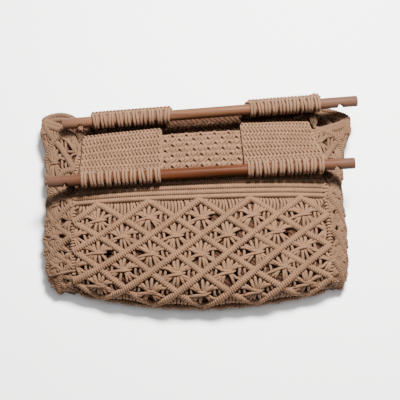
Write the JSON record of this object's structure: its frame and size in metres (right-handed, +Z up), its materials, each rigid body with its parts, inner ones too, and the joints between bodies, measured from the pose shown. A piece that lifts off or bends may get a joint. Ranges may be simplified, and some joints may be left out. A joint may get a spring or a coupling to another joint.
{
  "type": "knotted cord handbag with wooden dowel handles",
  "caption": "Soft handbag of knotted beige cotton cord, a diamond net under a lattice yoke, hung on round wooden dowel handles and lying on its back.",
  "frame": {"origin": "on the floor under the middle of the whole bag's box", "axes": "+X along the handles, +Y towards the mouth, +Z up from the floor through the back and front panels"},
  "size_m": [0.3726, 0.2446, 0.073],
  "materials": {
    "cord": "natural undyed cotton cord, twisted, matt",
    "frayed_cord": "frayed cotton fibres, soft and matt",
    "wood": "stained dowel with a satin clear coat, fine straight grain"
  },
  "bodies": {
    "root": {"front_yoke": "cord", "front_band": "cord", "front_net": "cord", "back_yoke": "cord", "back_band": "cord", "back_net": "cord", "left_gusset": "cord", "right_gusset": "cord", "bottom_seam": "cord", "front_dowel": "wood", "back_dowel": "wood", "front_strap_left": "cord", "front_strap_right": "cord", "back_strap_left": "cord", "back_strap_right": "cord", "mouth_tuft_left": "frayed_cord", "mouth_tuft_right": "frayed_cord", "band_tuft_left": "frayed_cord", "band_tuft_right": "frayed_cord", "loose_end": "frayed_cord"}
  },
  "joints": []
}
